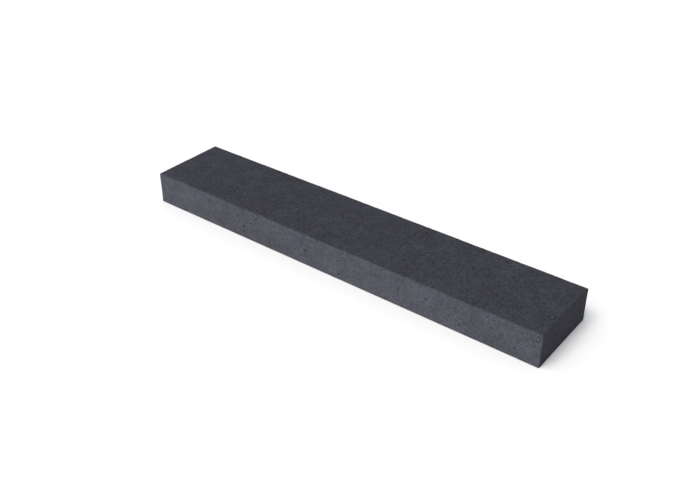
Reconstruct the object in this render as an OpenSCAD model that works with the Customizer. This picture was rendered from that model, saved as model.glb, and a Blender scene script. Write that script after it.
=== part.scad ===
// Concrete step block: a long solid block, cast in one piece, laid on a bed to make one step of a stair.
// Frame: origin at the middle of the bed (underside). X runs along the step, Y from the riser (front) to the
// back, Z up. The riser is at -Y and the tread is the top face.

/* [Block] */
// Length of the step
block_length = 2000; // [500:50:2500]
// Depth of the tread, from riser to back
block_depth = 370; // [200:5:600]
// Rise of the step, from bed to tread
block_height = 150; // [80:5:250]

/* [Arrises] */
// Radius of the edges round the tread and of the upright edges
arris_r = 5; // [1:0.5:15]
// Radius of the edges round the bed
bed_arris_r = 3; // [1:0.5:15]

/* [Finish] */
// Colour of the through-dyed concrete, red, green and blue from 0 to 1
concrete_rgb = [0.27, 0.275, 0.30];

/* [Hidden] */
$fn = 48;
// How far each profile runs past the block, so that no two cutting faces coincide
over = 10;

// Rectangle centred on X from the line y = 0 up, with one radius at its two lower corners and another at its
// two upper corners.
module rounded_profile(width, height, lower_r, upper_r) {
    union() {
        polygon([
            [-width / 2 + lower_r, 0],
            [width / 2 - lower_r, 0],
            [width / 2, lower_r],
            [width / 2, height - upper_r],
            [width / 2 - upper_r, height],
            [-width / 2 + upper_r, height],
            [-width / 2, height - upper_r],
            [-width / 2, lower_r]
        ]);
        for (s = [-1, 1]) {
            translate([s * (width / 2 - lower_r), lower_r]) circle(r = lower_r);
            translate([s * (width / 2 - upper_r), height - upper_r]) circle(r = upper_r);
        }
    }
}

// The block seen from its end, run along X.
module end_section() {
    rotate([90, 0, 90])
        translate([0, 0, -block_length / 2 - over])
            linear_extrude(height = block_length + 2 * over)
                rounded_profile(block_depth, block_height, bed_arris_r, arris_r);
}

// The block seen from its front, run along Y.
module front_section() {
    rotate([90, 0, 0])
        translate([0, 0, -block_depth / 2 - over])
            linear_extrude(height = block_depth + 2 * over)
                rounded_profile(block_length, block_height, bed_arris_r, arris_r);
}

// The block seen from above, run along Z.
module plan_section() {
    translate([0, 0, -over])
        linear_extrude(height = block_height + 2 * over)
            translate([0, -block_depth / 2])
                rounded_profile(block_length, block_depth, arris_r, arris_r);
}

// One solid casting: what the three sections have in common, so every edge has its true radius.
module step_block() {
    color(concrete_rgb)
        intersection() {
            end_section();
            front_section();
            plan_section();
        }
}

step_block();
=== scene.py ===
import math

import bpy
import numpy as np
from mathutils import Matrix, Vector, noise
from mathutils.geometry import delaunay_2d_cdt


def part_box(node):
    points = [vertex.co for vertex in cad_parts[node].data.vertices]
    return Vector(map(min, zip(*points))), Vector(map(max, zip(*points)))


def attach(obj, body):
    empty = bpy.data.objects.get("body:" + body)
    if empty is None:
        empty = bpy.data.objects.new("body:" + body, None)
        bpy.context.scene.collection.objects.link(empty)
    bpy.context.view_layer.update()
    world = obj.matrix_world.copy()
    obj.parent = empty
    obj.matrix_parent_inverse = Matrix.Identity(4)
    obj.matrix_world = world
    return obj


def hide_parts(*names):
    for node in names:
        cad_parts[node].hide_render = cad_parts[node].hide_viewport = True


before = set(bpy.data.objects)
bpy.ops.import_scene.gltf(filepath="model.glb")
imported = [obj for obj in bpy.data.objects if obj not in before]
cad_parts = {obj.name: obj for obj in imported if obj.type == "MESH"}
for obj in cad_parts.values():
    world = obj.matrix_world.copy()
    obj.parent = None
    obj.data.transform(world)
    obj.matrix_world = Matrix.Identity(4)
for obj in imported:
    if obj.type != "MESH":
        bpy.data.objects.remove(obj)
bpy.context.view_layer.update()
scene = bpy.context.scene
lo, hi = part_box("step_block")

# ------------------------------------------------------------------ camera
# The view: turned 38.2 degrees to the right of square-on, 32.4 degrees above the floor, 3.8 m away.
AZ, EL, ROLL = math.radians(38.249), math.radians(32.381), math.radians(-0.256)
DIST, TX, TY, FOCAL_PX = 1.8766 * 2, 0.0391 * 2, 0.0645 * 2, 891.6

aim = Vector((0.0, lo.y, 0.0))
back = Vector((math.sin(AZ) * math.cos(EL), -math.cos(AZ) * math.cos(EL), math.sin(EL)))
right = Vector((math.cos(AZ), math.sin(AZ), 0.0))
up = back.cross(right)
place = aim + back * DIST + right * TX + up * TY
r2 = right * math.cos(ROLL) + up * math.sin(ROLL)
u2 = up * math.cos(ROLL) - right * math.sin(ROLL)
lens = bpy.data.cameras.new("camera")
lens.sensor_width = 36.0
lens.lens = 36.0 * FOCAL_PX / 686.0
lens.clip_start, lens.clip_end = 0.05, 500.0
camera = bpy.data.objects.new("camera", lens)
scene.collection.objects.link(camera)
camera.matrix_world = Matrix((
    (r2.x, u2.x, back.x, place.x),
    (r2.y, u2.y, back.y, place.y),
    (r2.z, u2.z, back.z, place.z),
    (0.0, 0.0, 0.0, 1.0),
))
scene.camera = camera


# ------------------------------------------------------------------ the cast block, worked in millimetres about its centre
HALF = np.array([hi.x - lo.x, hi.y - lo.y, hi.z - lo.z]) * 500.0
CENTRE = np.array([hi.x + lo.x, hi.y + lo.y, hi.z + lo.z]) * 0.5
R, BED_R = 5.0, 3.0  # radius of the arrises round the tread and of the upright ones, and of those round the bed
TAPER = 30.0  # over this height the upright arrises widen from BED_R to R
GUARD = 0.5  # a flat row just inside each arris, so that its shading stops there
STEP = 5.0  # spacing of the points along an arris
GRID = 13.0  # spacing of the points on the open faces
ARC = [0.0] + [1 - math.tan(math.radians(a)) for a in (36, 27, 18, 9)] + [1.0]
rng = np.random.default_rng(20)

# name, normal axis and sign, then the axis and sign of u and of v, with u x v = normal
FACES = [
    ("tread", 2, 1, 0, 1, 1, 1),
    ("bed", 2, -1, 0, 1, 1, -1),
    ("riser", 1, -1, 0, 1, 2, 1),
    ("back", 1, 1, 0, -1, 2, 1),
    ("left", 0, -1, 1, -1, 2, 1),
    ("right", 0, 1, 1, 1, 2, 1),
]


def radius_at(z):
    """Radius of the arrises at a height measured from the middle of the block."""
    t = np.clip((np.asarray(z) + HALF[2] - BED_R) / TAPER, 0, 1)
    return BED_R + (R - BED_R) * t * t * (3 - 2 * t)


def rows(r):
    """Distances from an arris of that radius at which its rows of points lie."""
    return [r * q for q in ARC] + [r + GUARD]


def field(p, size, seed, octaves=2):
    """Smooth noise of about -1 to 1 with features of that size in mm, at each row of p."""
    out = np.empty(len(p))
    shift = Vector((seed * 17.13, seed * 5.71, seed * 11.37))
    for i, c in enumerate(p):
        v = Vector((c[0] / size, c[1] / size, c[2] / size)) + shift
        n = noise.noise(v)
        if octaves > 1:
            n = (n + 0.5 * noise.noise(v * 2.03)) / 1.2
        out[i] = n
    return out


# Chips along the arrises: axis of the arris, signs of the other two axes, place along it, half length, reach and depth.
# The first few are the ones that show; the rest are scattered.
CHIPS = [
    (0, -1, 1, -442.0, 7.0, 7.4, 2.6),
    (0, -1, 1, 101.0, 7.5, 7.8, 2.8),
    (0, -1, 1, 413.0, 8.0, 7.8, 2.9),
    (0, -1, 1, -701.0, 5.0, 6.2, 1.7),
    (0, -1, 1, 839.0, 5.0, 6.2, 1.7),
]
OTHERS = {0: (1, 2), 1: (0, 2), 2: (0, 1)}
for axis, count in ((0, 11), (1, 3), (2, 1)):
    for s1 in (-1, 1):
        for s2 in (-1, 1):
            for _ in range(count):
                span = HALF[axis] - R - 12.0
                at = float(rng.uniform(-span, span))
                near = [c for c in CHIPS if c[:3] == (axis, s1, s2) and abs(c[3] - at) < 24.0]
                if near:
                    continue
                a = float(rng.uniform(1.8, 6.0))
                r = BED_R if axis != 2 and s2 < 0 else R
                CHIPS.append((axis, s1, s2, at, a, r * float(rng.uniform(0.8, 1.2)), a * float(rng.uniform(0.2, 0.36))))


def stations(axis, s1, s2):
    """Places along one arris, closer together through each chip."""
    end = HALF[axis] - R - GUARD
    n = max(2, int(round(2 * end / STEP)))
    t = list(np.linspace(-end, end, n + 1)[1:-1])
    for c in CHIPS:
        if c[:3] == (axis, s1, s2):
            at, a = c[3], c[4]
            t = [x for x in t if abs(x - at) > a * 1.25 + 0.8]
            t += list(at + np.linspace(-1.15, 1.15, 2 * max(3, int(round(a / 0.9))) + 1) * a)
    return sorted(t)


# Pores: face, u, v in mm from the middle of the face, radius, depth as a share of the radius, stretch, turn and kind.
# u runs to the right and v upwards (on the tread, towards the back) as each face is looked at.
SEEN = [
    ("riser", 981.5, 49.5, 10.4, 0.17, 1.32, 86, "ring"),
    ("tread", 978, -68, 11.5, 0.20, 1.70, 74, "crescent"),
    ("riser", -459, -14, 5.0, 0.90, 1.1, 20, "pit"),
    ("riser", -106, -4, 5.8, 0.90, 1.2, 0, "pit"),
    ("riser", 690, -24, 3.8, 0.95, 1.0, 0, "pit"),
    ("riser", -650, -30, 4.7, 0.8, 1.1, 40, "pit"),
    ("riser", -497, 24, 4.8, 0.8, 1.0, 0, "pit"),
    ("riser", -309, -39, 4.4, 0.8, 1.2, 70, "pit"),
    ("riser", -669, 38, 3.0, 0.8, 1.0, 0, "pit"),
    ("riser", -614, 52, 3.6, 0.7, 1.3, 10, "pit"),
    ("riser", -413, 17, 4.0, 0.8, 1.1, 0, "pit"),
    ("riser", -445, -52, 2.8, 0.8, 1.0, 0, "pit"),
    ("riser", -373, -9, 2.3, 0.8, 1.0, 0, "pit"),
    ("riser", -159, -16, 2.4, 0.8, 1.2, 30, "pit"),
    ("riser", 71, 18, 3.8, 0.8, 1.0, 0, "pit"),
    ("riser", 77, -47, 5.4, 0.8, 1.1, 60, "pit"),
    ("riser", 611, -16, 4.5, 0.8, 1.0, 0, "pit"),
    ("riser", 503, 16, 4.3, 0.8, 1.0, 0, "pit"),
    ("riser", 660, -37, 4.4, 0.8, 1.2, 15, "pit"),
    ("riser", 794, 13, 4.0, 0.8, 1.0, 0, "pit"),
    ("riser", 844, -50, 3.6, 0.8, 1.0, 0, "pit"),
    ("riser", 895, -34, 3.6, 0.8, 1.3, 90, "pit"),
    ("riser", 941, -1, 2.4, 0.8, 1.0, 0, "pit"),
    ("riser", 925, -16, 2.6, 0.8, 1.0, 0, "pit"),
    ("riser", 851, 56, 2.0, 0.8, 1.0, 0, "pit"),
    ("riser", 690, -58, 2.6, 0.8, 1.2, 45, "pit"),
    ("tread", 377, -127, 5.0, 0.90, 1.2, 30, "pit"),
    ("tread", 361, -141, 3.4, 0.85, 1.0, 0, "pit"),
    ("tread", 408, -104, 5.3, 0.90, 1.1, 60, "pit"),
    ("tread", 615, 49, 4.9, 0.90, 1.0, 0, "pit"),
    ("tread", 667, 154, 6.4, 0.90, 1.2, 0, "pit"),
    ("tread", 910, -8, 3.6, 0.80, 1.5, 100, "pit"),
    ("tread", 289, 143, 6.1, 0.90, 1.0, 0, "pit"),
    ("tread", 738, -134, 4.8, 0.90, 1.1, 20, "pit"),
    ("tread", -134, -153, 4.4, 0.90, 1.0, 0, "pit"),
    ("tread", -115, -138, 3.8, 0.85, 1.2, 70, "pit"),
    ("tread", 437, -32, 5.6, 0.8, 1.0, 0, "pit"),
    ("tread", 475, -7, 5.8, 0.8, 1.1, 20, "pit"),
    ("tread", 581, 34, 4.2, 0.8, 1.0, 0, "pit"),
    ("tread", -40, 105, 5.2, 0.8, 1.0, 0, "pit"),
    ("tread", 26, 123, 5.2, 0.8, 1.2, 50, "pit"),
    ("tread", 128, -15, 4.9, 0.8, 1.0, 0, "pit"),
    ("tread", 450, -168, 2.8, 0.8, 1.0, 0, "pit"),
    ("tread", 328, -85, 3.6, 0.8, 1.0, 0, "pit"),
    ("tread", -848, 119, 4.3, 0.8, 1.0, 0, "pit"),
    ("tread", -633, -75, 3.6, 0.8, 1.1, 10, "pit"),
    ("tread", -294, -10, 3.0, 0.8, 1.0, 0, "pit"),
    ("tread", -372, -64, 5.1, 0.8, 1.2, 80, "pit"),
    ("tread", -507, 35, 2.8, 0.8, 1.0, 0, "pit"),
    ("tread", -429, 0, 3.2, 0.8, 1.0, 0, "pit"),
    ("tread", 319, 98, 3.5, 0.8, 1.0, 0, "pit"),
    ("tread", 492, 116, 4.0, 0.8, 1.2, 40, "pit"),
    ("tread", 634, -68, 3.2, 0.8, 1.0, 0, "pit"),
    ("tread", 660, 8, 4.1, 0.8, 1.0, 0, "pit"),
    ("tread", 662, -171, 2.9, 0.8, 1.0, 0, "pit"),
    ("tread", 676, -166, 2.4, 0.8, 1.0, 0, "pit"),
    ("tread", 865, -12, 4.5, 0.8, 1.1, 0, "pit"),
    ("tread", 852, 84, 3.5, 0.8, 1.0, 0, "pit"),
    ("tread", 888, -92, 4.5, 0.8, 1.0, 0, "pit"),
    ("tread", 766, 21, 4.3, 0.8, 1.0, 0, "pit"),
    ("tread", 747, 37, 2.4, 0.8, 1.0, 0, "pit"),
    ("tread", 951, -101, 2.8, 0.8, 1.0, 0, "pit"),
    ("tread", -79, -170, 3.8, 0.8, 1.0, 0, "pit"),
]


class Face:
    def __init__(self, name, n_axis, n_sign, u_axis, u_sign, v_axis, v_sign):
        self.name, self.n, self.ns = name, n_axis, n_sign
        self.u, self.us, self.v, self.vs = u_axis, u_sign, v_axis, v_sign
        self.a, self.b, self.c = HALF[u_axis], HALF[v_axis], HALF[n_axis]
        self.uv, self.deep, self.pit, self.rim, self.kept = [], [], [], [], []
        self.pores = []

    # pit: how much painted shade darkens the point; the last value: how much paler it is painted, at the ring's core
    # and as painted highlight on the crescent
    def add(self, u, v, deep=0.0, pit=0.0, rim=0.0):
        self.uv.append((u, v))
        self.deep.append(deep)
        self.pit.append(pit)
        self.rim.append(rim)

    def inset(self, u, v):
        """Distance of a point from the face's nearest side."""
        return min(self.a - abs(u), self.b - abs(v))

    def put(self, u, v, radius, depth, stretch=1.0, turn=0.0, kind="pit"):
        """Adds one pore if it has room, and says whether it did."""
        reach = radius * stretch * 1.22
        ct, st = math.cos(turn), math.sin(turn)
        most = radius * (1.16 if kind == "ring" else 1.25)
        wide, high = most * math.hypot(stretch * ct, st / math.sqrt(stretch)), most * math.hypot(stretch * st, ct / math.sqrt(stretch))
        if min(self.a - abs(u) - wide, self.b - abs(v) - high) < R + GUARD + 0.6:
            return False
        for q in self.pores:
            if math.hypot(u - q[0], v - q[1]) < reach + q[2] + 0.7:
                return False
        self.pores.append((u, v, reach))
        n = 8 if radius < 1.7 else 12 if radius < 3.2 else 16
        # each ring: its size, how deep it lies, how much painted shade darkens it and how much paler it is painted
        if kind == "ring":  # a groove round a paler grain, the groove darkened with painted shade, most on one side
            rings = [(1.08, 0, 0, 0), (1.01, 0, 0, 0), (0.93, 0.8, 0.85, 0), (0.82, 1, 1, 0), (0.69, 0.8, 0.85, 0)]
            rings += [(0.58, 0.1, 0, 0.5), (0.42, 0, 0, 0.7), (0.2, 0, 0, 0.7)]
            mid = (0.0, 0.0, 0.7)
        elif kind == "crescent":  # a dent with one steep side, and the paste it pushed up on the other; painted shade on the steep side, painted highlight on the other
            rings = [(1.16, 0, 0, 0.4), (1.0, 0.1, 0.2, 0.6), (0.86, 0.9, 1, 0), (0.62, 1, 1, 0.1), (0.44, 0.4, 0.3, 0.6), (0.24, 0, 0, 1)]
            mid = (0.0, 0.0, 1.0)
        elif n == 8:
            rings = [(1.22, 0, 0, 0), (1.0, 0, 0, 0), (0.7, 0.75, 0.75, 0)]
            mid = (1.0, 1.0, 0.0)
        else:
            rings = [(1.18, 0, 0, 0), (1.0, 0, 0, 0), (0.86, 0.5, 0.5, 0), (0.55, 0.88, 0.88, 0)]
            mid = (1.0, 1.0, 0.0)
        wob = rng.uniform(-1, 1, 4)
        ph = rng.uniform(0, 2 * math.pi, 4)
        for k, (f, d, painted_shade, pale) in enumerate(rings):
            first = len(self.uv)
            self.kept += [(first + i, first + (i + 1) % n) for i in range(n)]
            for i in range(n):
                g = 2 * math.pi * (i + 0.5 * (k % 2)) / n
                w = 1 + 0.09 * wob[0] * math.sin(2 * g + ph[0]) + 0.07 * wob[1] * math.sin(3 * g + ph[1])
                if kind == "ring":
                    w = 1 + (w - 1) * 0.5
                if n > 8:
                    w += 0.04 * wob[2] * math.sin(5 * g + ph[2])
                x, y = radius * f * w * stretch * math.cos(g), radius * f * w / math.sqrt(stretch) * math.sin(g)
                # side scales how deep each point lies and how much painted shade darkens it, round the dent, so that
                # one side is more shaded; the second factor places the painted highlight
                side, highlight_side = 1.0, 1.0
                if kind == "ring":
                    side = 0.7 + 0.25 * math.cos(g + 2.0)
                elif kind == "crescent":
                    side = max(0.0, min(1.0, 0.35 - 0.9 * math.sin(g)))
                    highlight_side = max(0.0, min(1.0, 0.6 + 0.8 * math.sin(g) if f < 0.7 else 0.4 - 0.9 * math.sin(g + 0.5)))
                self.add(
                    u + x * ct - y * st, v + x * st + y * ct, d * side * depth * radius, painted_shade * side, pale * highlight_side
                )
        self.add(u, v, mid[0] * depth * radius, mid[1], mid[2])
        return True

    def fill(self):
        """The arris rows, then the open face round the pores."""
        for sy in (-1, 1):
            for sx in (-1, 1):
                corner = rows(BED_R if self.name == "bed" or (self.name != "tread" and sy < 0) else R)
                for p in corner:
                    for q in corner:
                        self.add(sx * (self.a - p), sy * (self.b - q))
        for along_u in (True, False):
            run, across = (self.u, self.v) if along_u else (self.v, self.u)
            run_sign, across_sign = (self.us, self.vs) if along_u else (self.vs, self.us)
            for side in (-1, 1):
                signs = {across: side * across_sign, self.n: self.ns}
                o1, o2 = OTHERS[run]
                key = (run, signs[o1], signs[o2])
                ts = stations(*key)
                h = HALF[across]
                for t in ts:
                    r = float(radius_at(t)) if run == 2 else BED_R if key[2] < 0 else R
                    for p in rows(r):
                        uv = (t * run_sign, side * (h - p))
                        self.add(*(uv if along_u else uv[::-1]))
                for t in ts[1:-1:2]:
                    uv = (t * run_sign, side * (h - R - GUARD - 3.6))
                    if self.clear(*(uv if along_u else uv[::-1])):
                        self.add(*(uv if along_u else uv[::-1]))
                for c in CHIPS:  # more points where a chip reaches into the face
                    if c[:3] == key and c[5] > R + 0.3:
                        for t in np.linspace(-0.8, 0.8, 7) * c[4] + c[3]:
                            uv = (t * run_sign, side * (h - R - GUARD - 1.1))
                            uv = uv if along_u else uv[::-1]
                            if self.clear(*uv):
                                self.add(*uv)
        edge = R + 9
        high = int(2 * (self.b - edge) / (GRID * 0.866)) + 1
        wide = int(2 * (self.a - edge) / GRID) + 1
        for j in range(high):
            v = 2 * (self.b - edge) * (j / (high - 1) - 0.5)
            for i in range(wide):
                u = 2 * (self.a - edge) * ((i + 0.5 * (j % 2)) / (wide - 0.5) - 0.5)
                u += float(rng.uniform(-1.6, 1.6))
                w = v + float(rng.uniform(-1.6, 1.6))
                if self.inset(u, w) > R + GUARD + 5 and self.clear(u, w):
                    self.add(u, w)

    def clear(self, u, v):
        if not hasattr(self, "grid"):
            self.grid = {}
            for q in self.pores:
                for i in range(int((q[0] - q[2] - 3) // 40), int((q[0] + q[2] + 3) // 40) + 1):
                    for j in range(int((q[1] - q[2] - 3) // 40), int((q[1] + q[2] + 3) // 40) + 1):
                        self.grid.setdefault((i, j), []).append(q)
        return all(
            math.hypot(u - q[0], v - q[1]) > q[2] + 1.5 for q in self.grid.get((int(u // 40), int(v // 40)), ())
        )

    def mesh(self):
        flat = [Vector(p) for p in self.uv]
        got = delaunay_2d_cdt(flat, self.kept, [], 0, 1e-5, True)
        coords, tris, origin = got[0], got[2], got[3]
        index = [o[0] if o else -1 for o in origin]
        if min(index) < 0 or len(coords) != len(flat):
            raise RuntimeError(f"{self.name}: {len(flat)} points became {len(coords)}")
        made = [[index[i] for i in t] for t in tris]
        uv = np.array(self.uv)
        t = np.array([m if len(m) == 3 else m[:3] for m in made])
        e1, e2 = uv[t[:, 1]] - uv[t[:, 0]], uv[t[:, 2]] - uv[t[:, 0]]
        area = e1[:, 0] * e2[:, 1] - e1[:, 1] * e2[:, 0]
        t[area < 0] = t[area < 0][:, ::-1]
        t = t[np.abs(area) > 1e-6]
        p = np.zeros((len(uv), 3))
        p[:, self.u] = uv[:, 0] * self.us
        p[:, self.v] = uv[:, 1] * self.vs
        p[:, self.n] = self.ns * self.c
        return p, t, uv


faces = {f[0]: Face(*f) for f in FACES}
for name, u, v, radius, depth, stretch, turn, kind in SEEN:
    faces[name].put(u, v, radius, depth, stretch, math.radians(turn), kind)
# How many more pores over 2 mm wide each face has, and the radius of its largest
for name, count, largest in (
    ("tread", 200, 2.4), ("bed", 200, 4.6), ("riser", 200, 2.3), ("back", 210, 4.8), ("left", 36, 4.0), ("right", 36, 2.6)
):
    f = faces[name]
    placed = tries = 0
    while placed < count and tries < count * 6:
        tries += 1
        radius = min((1.0 - float(rng.random())) ** (-1 / 2.3), largest)
        u, v = float(rng.uniform(-f.a, f.a)), float(rng.uniform(-f.b, f.b))
        placed += f.put(
            u, v, radius, float(rng.uniform(0.45, 1.0)), float(rng.uniform(1.0, 1.35)), float(rng.uniform(0, 2 * math.pi))
        )

points, deep, pit, rim, tris, face_uv, tri_face = [], [], [], [], [], [], []
start = 0
for k, f in enumerate(faces.values()):
    f.fill()
    p, t, uv = f.mesh()
    points.append(p)
    deep.append(np.array(f.deep))
    pit.append(np.array(f.pit))
    rim.append(np.array(f.rim))
    tris.append(t + start)
    face_uv.append(uv)
    tri_face.append(np.full(len(t), k))
    start += len(p)
points, deep, pit, rim = np.concatenate(points), np.concatenate(deep), np.concatenate(pit), np.concatenate(rim)
tris, face_uv, tri_face = np.concatenate(tris), np.concatenate(face_uv), np.concatenate(tri_face)

# Points that two or three faces share become one.
keys = np.round(points * 1000).astype(np.int64)
_, first, joined = np.unique(keys, axis=0, return_index=True, return_inverse=True)
joined = joined.reshape(-1)
sharp = points[first]
deep, pit, rim = deep[first], pit[first], rim[first]

# The arris: each point of the sharp block goes to the rounded one, along a direction that turns through the corner.
r_here = radius_at(sharp[:, 2])[:, None]
inner = np.clip(sharp, -(HALF - r_here), HALF - r_here)
away = sharp - inner
outward = away / np.linalg.norm(away, axis=1)[:, None]
solid = inner + outward * r_here
r_here = r_here[:, 0]
near_edge = np.sort(HALF - np.abs(sharp), axis=1)[:, 1]  # distance from the nearest arris

# Wear along the arrises, and the chips.
edge_points = near_edge < R
worn = np.zeros(len(sharp))
worn[edge_points] = np.clip(
    0.4 + 1.2 * field(sharp[edge_points], 90.0, 1, 1) + 1.2 * field(sharp[edge_points], 24.0, 2), 0, 1.7
) * np.clip(1 - near_edge[edge_points] / r_here[edge_points], 0, 1)
chipped = np.zeros(len(sharp))
cut = 0.2 * r_here * worn
for axis, s1, s2, at, a, reach, depth in CHIPS:
    o1, o2 = OTHERS[axis]
    d1, d2 = HALF[o1] - s1 * sharp[:, o1], HALF[o2] - s2 * sharp[:, o2]
    t = (sharp[:, axis] - at) / a
    near = (np.abs(t) < 1.1) & (d1 < reach + 1) & (d2 < reach + 1)
    if near.any():
        s = np.maximum(d1[near], d2[near]) / reach
        bowl = np.clip(1 - t[near] ** 2 - 0.8 * s**2, 0, 1) ** 0.6
        rough = 1 + 0.25 * field(sharp[near], 2.2, 3)
        cut[near] = np.maximum(cut[near], depth * bowl * rough)
        chipped[near] = np.maximum(chipped[near], np.clip(bowl * 1.6, 0, 1))

# The faces are flat to a tenth of a millimetre or two; the underside, which is out of sight, is rougher.
swell = 0.10 + 0.07 * field(sharp, 170.0, 5) + 0.03 * field(sharp, 38.0, 7)
under = (sharp[:, 2] < -HALF[2] + 0.01) & (near_edge > BED_R)
swell[under] += 0.16 + 0.16 * field(sharp[under], 30.0, 9)
swell = np.clip(swell, 0.0, 0.6)
solid = solid - outward * (deep + cut + swell)[:, None]
solid = solid / 1000.0 + CENTRE

mesh = bpy.data.meshes.new("concrete_step")
mesh.from_pydata(solid.tolist(), [], joined[tris].tolist())
mesh.update()
# For the finish, per point: pit, painted shade in the pores; arris, the rounded arrises, which the finish darkens with
# painted shade; chip, the chips; and the pale value, the ring's pale core and painted highlight on the crescent
for name, values in (
    ("pit", pit),
    ("arris", np.clip(1 - near_edge / r_here, 0, 1)),
    ("chip", chipped),
    ("rim", rim),
):
    mesh.attributes.new(name, "FLOAT", "POINT").data.foreach_set("value", values.astype(np.float32))
mesh.polygons.foreach_set("use_smooth", [True] * len(mesh.polygons))

# The map that the finish is baked through: the long faces in two halves each, side by side on one square, the underside at
# half size.
SIDE = 1425.0
PLACES = {  # face: (scale, [(left, bottom, turned) of each half])
    "tread": (1.0, [(5, 5, False), (5, 385, False)]),
    "bed": (0.5, [(5, 765, False), (5 + 505, 765, False)]),
    "riser": (1.0, [(5, 960, False), (5, 1115, False)]),
    "back": (1.0, [(1020, 5, True), (1180, 5, True)]),
    "left": (1.0, [(5, 1270, False)]),
    "right": (1.0, [(385, 1270, False)]),
}
loops = face_uv[tris]  # triangle, corner, (u, v)
baked = np.empty_like(loops)
for k, f in enumerate(faces.values()):
    scale, places = PLACES[f.name]
    mine = tri_face == k
    if len(places) == 2:
        half = (loops[:, :, 0].mean(1) > 0).astype(int)
    else:
        half = np.zeros(len(loops), int)
    for h, (left, bottom, turned) in enumerate(places):
        sel = mine & (half == h)
        q = loops[sel]
        start_u = (-f.a if h == 0 else -8.0) if len(places) == 2 else -f.a
        x, y = (q[:, :, 0] - start_u) * scale, (q[:, :, 1] + f.b) * scale
        if turned:
            x, y = y, x
        baked[sel] = np.stack([x + left, y + bottom], -1) / SIDE
layer = mesh.uv_layers.new(name="OFBake")
layer.data.foreach_set("uv", baked.reshape(-1).astype(np.float32))
mesh.validate()

block = bpy.data.objects.new("concrete_step", mesh)
scene.collection.objects.link(block)
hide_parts("step_block")
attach(block, "root")
print("MESH", len(mesh.vertices), "vertices", len(mesh.polygons), "triangles", "pores", {f.name: len(f.pores) for f in faces.values()})

# ------------------------------------------------------------------ concrete
concrete = bpy.data.materials.new("anthracite_concrete")
concrete.use_nodes = True
nt = concrete.node_tree
nt.nodes.clear()


def node(kind, **values):
    n = nt.nodes.new(kind)
    for k, v in values.items():
        setattr(n, k, v)
    return n


def link(a, b):
    nt.links.new(a, b)


def tex_noise(scale, detail=2.0, rough=0.5, distort=0.0):
    n = node("ShaderNodeTexNoise")
    link(coords, n.inputs["Vector"])
    n.inputs["Scale"].default_value = scale
    n.inputs["Detail"].default_value = detail
    n.inputs["Roughness"].default_value = rough
    n.inputs["Distortion"].default_value = distort
    return n.outputs["Fac"]


def calc(op, a, b=None, c=None, clamp=False):
    n = node("ShaderNodeMath", operation=op, use_clamp=clamp)
    for i, x in enumerate((a, b, c)):
        if x is None:
            continue
        if isinstance(x, (int, float)):
            n.inputs[i].default_value = x
        else:
            link(x, n.inputs[i])
    return n.outputs[0]


def around(x, weight):
    """weight * (x - 0.5)"""
    return calc("MULTIPLY", calc("SUBTRACT", x, 0.5), weight)


def fit(x, a, b, c=0.0, d=1.0):
    n = node("ShaderNodeMapRange")
    link(x, n.inputs["Value"])
    for k, v in (("From Min", a), ("From Max", b), ("To Min", c), ("To Max", d)):
        n.inputs[k].default_value = v
    return n.outputs["Result"]


coords = node("ShaderNodeTexCoord").outputs["Object"]
out = node("ShaderNodeOutputMaterial")
shader = node("ShaderNodeBsdfPrincipled")
link(shader.outputs[0], out.inputs["Surface"])

attribute = {}
for name in ("pit", "arris", "chip", "rim"):
    attribute[name] = node("ShaderNodeAttribute", attribute_name=name, attribute_type="GEOMETRY").outputs["Fac"]

broad = tex_noise(2.6, 3.0, 0.5)  # 400 mm drifts in tone
cloud = tex_noise(15.0, 4.0, 0.55, 0.4)  # 60 mm clouds
patch = tex_noise(60.0, 3.0, 0.6)  # 15 mm patches
fleck = tex_noise(190.0, 2.0, 0.6)  # 5 mm
grain = tex_noise(700.0, 2.0, 0.6)  # 1.4 mm sand

sand = node("ShaderNodeTexVoronoi", feature="F1")
link(coords, sand.inputs["Vector"])
sand.inputs["Scale"].default_value = 520.0
sand_tone = node("ShaderNodeSeparateColor")
link(sand.outputs["Color"], sand_tone.inputs[0])

# small pores under 2 mm, one in some of the cells, each of its own size; the bump sinks them and painted shade darkens
# them
holes = node("ShaderNodeTexVoronoi", feature="F1")
link(coords, holes.inputs["Vector"])
holes.inputs["Scale"].default_value = 115.0
hole_pick = node("ShaderNodeSeparateColor")
link(holes.outputs["Color"], hole_pick.inputs[0])
hole_size = fit(hole_pick.outputs[0], 0.45, 1.0, 0.0, 0.105)
hole = calc("SUBTRACT", 1.0, calc("DIVIDE", holes.outputs["Distance"], calc("MAXIMUM", hole_size, 0.0001)), clamp=True)
hole = fit(hole, 0.0, 0.55)

tone = calc("ADD", 0.5, around(broad, 0.15))
for x, w in ((cloud, 0.45), (patch, 0.55), (fleck, 1.05), (grain, 1.0), (sand_tone.outputs[0], 0.36)):
    tone = calc("ADD", tone, around(x, w))
# darker along the rounded arrises: painted shade, broken up by the 5 mm flecks
tone = calc("ADD", tone, calc("MULTIPLY", attribute["arris"], calc("ADD", -0.09, calc("MULTIPLY", fleck, 0.12))))
tone = calc("ADD", tone, calc("MULTIPLY", attribute["chip"], 0.10))
# paler: the ring's pale core, and painted highlight on the lit side of the crescent
tone = calc("ADD", tone, calc("MULTIPLY", attribute["rim"], 0.22))

colour = node("ShaderNodeValToRGB")
ramp = colour.color_ramp
ramp.elements[0].position, ramp.elements[0].color = 0.0, (0.0115, 0.0118, 0.0147, 1)
ramp.elements[1].position, ramp.elements[1].color = 1.0, (0.0639, 0.0657, 0.0809, 1)
middle = ramp.elements.new(0.5)
middle.color = (0.0302, 0.0310, 0.0383, 1)
link(tone, colour.inputs[0])

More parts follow.
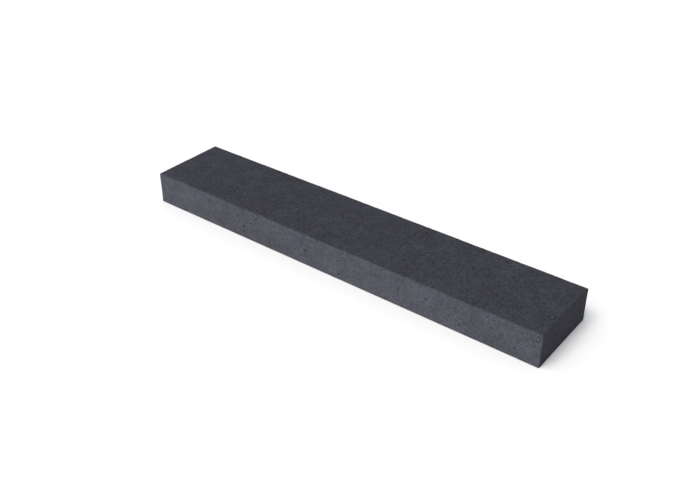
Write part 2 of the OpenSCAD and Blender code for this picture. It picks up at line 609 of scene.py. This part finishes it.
hue = node("ShaderNodeCombineXYZ")  # the dye is a little bluer in some patches than in others
drift = calc("ADD", tex_noise(9.0, 3.0, 0.55, 0.3), around(fleck, 0.2))
link(fit(drift, 0.25, 0.75, 0.990, 1.008), hue.inputs[0])
hue.inputs[1].default_value = 1.0
link(fit(drift, 0.25, 0.75, 0.93, 1.07), hue.inputs[2])
tinted = node("ShaderNodeVectorMath", operation="MULTIPLY")
link(colour.outputs["Color"], tinted.inputs[0])
link(hue.outputs[0], tinted.inputs[1])

# painted shade: darker in the larger pores and grooves (pit) and in the small pores (hole)
shade = calc("MULTIPLY", calc("SUBTRACT", 1.0, calc("MULTIPLY", attribute["pit"], 0.62)), calc("SUBTRACT", 1.0, calc("MULTIPLY", hole, 0.6)))
painted_shade = node("ShaderNodeVectorMath", operation="SCALE")
link(tinted.outputs[0], painted_shade.inputs[0])
link(shade, painted_shade.inputs["Scale"])
link(painted_shade.outputs[0], shader.inputs["Base Color"])

gloss = calc("ADD", 0.92, around(cloud, 0.08))
gloss = calc("ADD", gloss, around(grain, 0.10))
gloss = calc("ADD", gloss, calc("MULTIPLY", attribute["pit"], 0.1), clamp=True)
link(gloss, shader.inputs["Roughness"])
shader.inputs["Specular IOR Level"].default_value = 0.15

height = calc("ADD", calc("MULTIPLY", grain, 0.10), calc("MULTIPLY", fleck, 0.16))
height = calc("ADD", height, calc("MULTIPLY", patch, 0.12))
height = calc("ADD", height, calc("MULTIPLY", calc("SUBTRACT", 1.0, sand.outputs["Distance"]), 0.06))
height = calc("SUBTRACT", height, calc("MULTIPLY", hole, 0.7))
bump = node("ShaderNodeBump")
bump.inputs["Strength"].default_value = 0.8
bump.inputs["Distance"].default_value = 0.001
link(height, bump.inputs["Height"])
link(bump.outputs["Normal"], shader.inputs["Normal"])
mesh.materials.append(concrete)
for o in (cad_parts["step_block"],):
    if o.data.materials:
        for s in o.material_slots:
            s.material = concrete
    else:
        o.data.materials.append(concrete)

# ------------------------------------------------------------------ floor and light
ground = bpy.data.meshes.new("floor")
G = 150.0
ground.from_pydata([(-G, -G, 0), (G, -G, 0), (G, G, 0), (-G, G, 0)], [], [(0, 1, 2, 3)])
floor = bpy.data.objects.new("floor", ground)
scene.collection.objects.link(floor)
pale = bpy.data.materials.new("pale_floor")
pale.use_nodes = True
p = pale.node_tree.nodes["Principled BSDF"]
p.inputs["Base Color"].default_value = (0.824, 0.824, 0.824, 1)
p.inputs["Roughness"].default_value = 0.9
p.inputs["Specular IOR Level"].default_value = 0.2
ground.materials.append(pale)

world = bpy.data.worlds.new("studio")
scene.world = world
world.use_nodes = True
wt = world.node_tree
sky = wt.nodes["Background"]
sky.inputs["Color"].default_value = (0.934, 0.985, 1.106, 1)
sky.inputs["Strength"].default_value = 0.487
backdrop = wt.nodes.new("ShaderNodeBackground")  # the far wall of the studio, white where it is seen
backdrop.inputs["Color"].default_value = (1, 1, 1, 1)
rays = wt.nodes.new("ShaderNodeLightPath")
pick = wt.nodes.new("ShaderNodeMixShader")
wt.links.new(rays.outputs["Is Camera Ray"], pick.inputs[0])
wt.links.new(sky.outputs[0], pick.inputs[1])
wt.links.new(backdrop.outputs[0], pick.inputs[2])
wt.links.new(pick.outputs[0], wt.nodes["World Output"].inputs["Surface"])


def lamp(name, azimuth, elevation, width, strength, tint=(1, 1, 1)):
    """A wide, soft, distant light. Azimuth 0 is square-on to the riser and negative to its left."""
    data = bpy.data.lights.new(name, "SUN")
    data.angle = math.radians(width)
    data.energy = strength * math.pi
    data.color = tint
    o = bpy.data.objects.new(name, data)
    a, e = math.radians(azimuth), math.radians(elevation)
    d = Vector((math.sin(a) * math.cos(e), -math.cos(a) * math.cos(e), math.sin(e)))
    o.rotation_mode = "QUATERNION"
    o.rotation_quaternion = d.to_track_quat("Z", "Y")
    scene.collection.objects.link(o)


WARM = (1.035, 1, 0.95)  # the light from overhead is a little warmer than the light all round
lamp("front", -5, 0, 8, 1.69, (1, 1, 0.975))
lamp("low", -20, 4, 15, 0.65)
lamp("upper", -10, 60, 30, 0.29, WARM)
lamp("top", -20, 70, 40, 0.432, WARM)
lamp("left", -45, 60, 30, 0.062, WARM)
lamp("side", -75, 20, 30, 0.095, WARM)
lamp("rear", -150, 40, 70, 0.035, WARM)

scene.view_settings.view_transform = "Standard"
scene.view_settings.look = "None"
